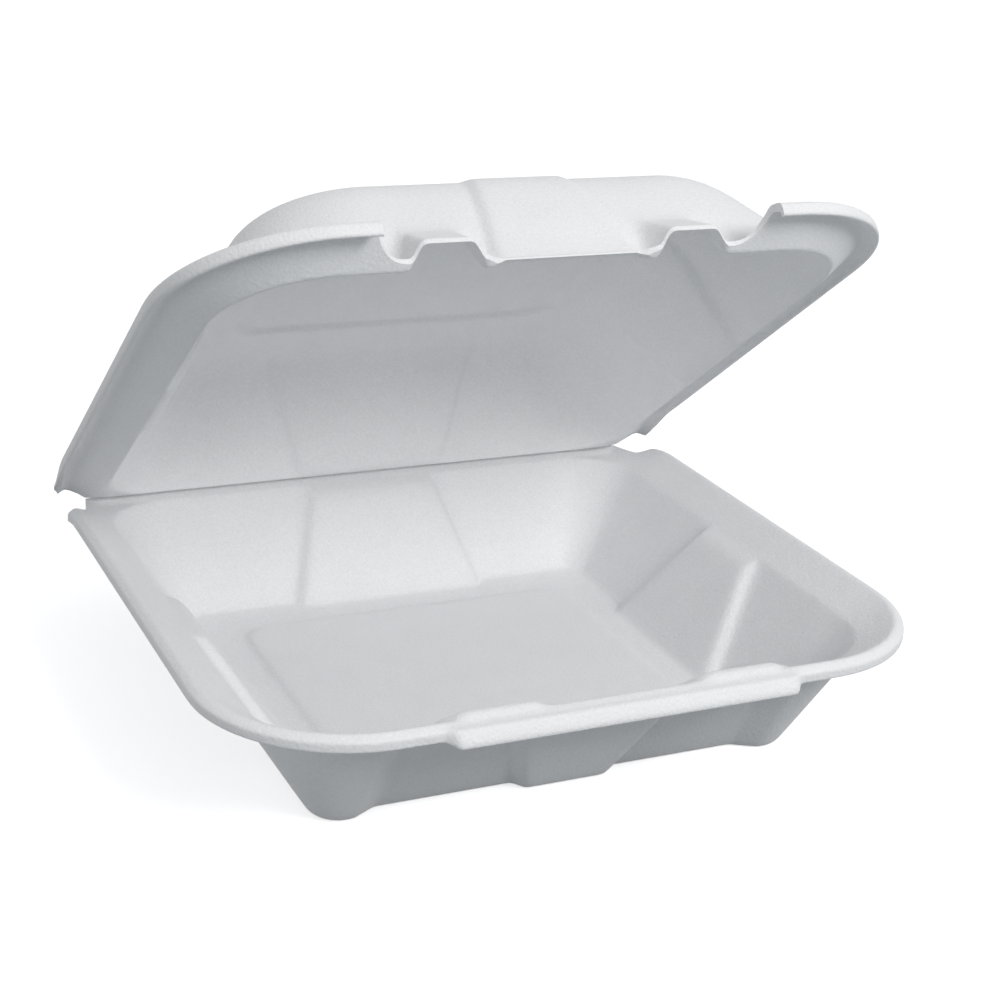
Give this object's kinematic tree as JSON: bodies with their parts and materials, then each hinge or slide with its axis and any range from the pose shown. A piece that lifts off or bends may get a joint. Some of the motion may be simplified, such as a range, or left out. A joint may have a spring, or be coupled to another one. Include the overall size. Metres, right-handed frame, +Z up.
{
  "type": "foam clamshell container",
  "caption": "White foam takeout box with a hinged lid standing part open, a front lock bar and a plain one-compartment tray.",
  "frame": {"origin": "on the surface the tray stands on, under the middle of the open container's footprint", "axes": "+Z up, front lock bar towards -Y, crease along X at the back (+Y)"},
  "size_m": [0.2356, 0.2174, 0.1754],
  "materials": {
    "foam": "matt foamed polystyrene"
  },
  "bodies": {
    "tray": {"tray": "foam"},
    "lid": {"lid": "foam"}
  },
  "joints": [
    {"name": "lid_hinge", "type": "hinge", "parent": "tray", "child": "lid", "pos_m": [0, 0.10698, 0.04143], "axis": [-1, 0, 0], "range_deg": [-37.3, 142.7]}
  ]
}
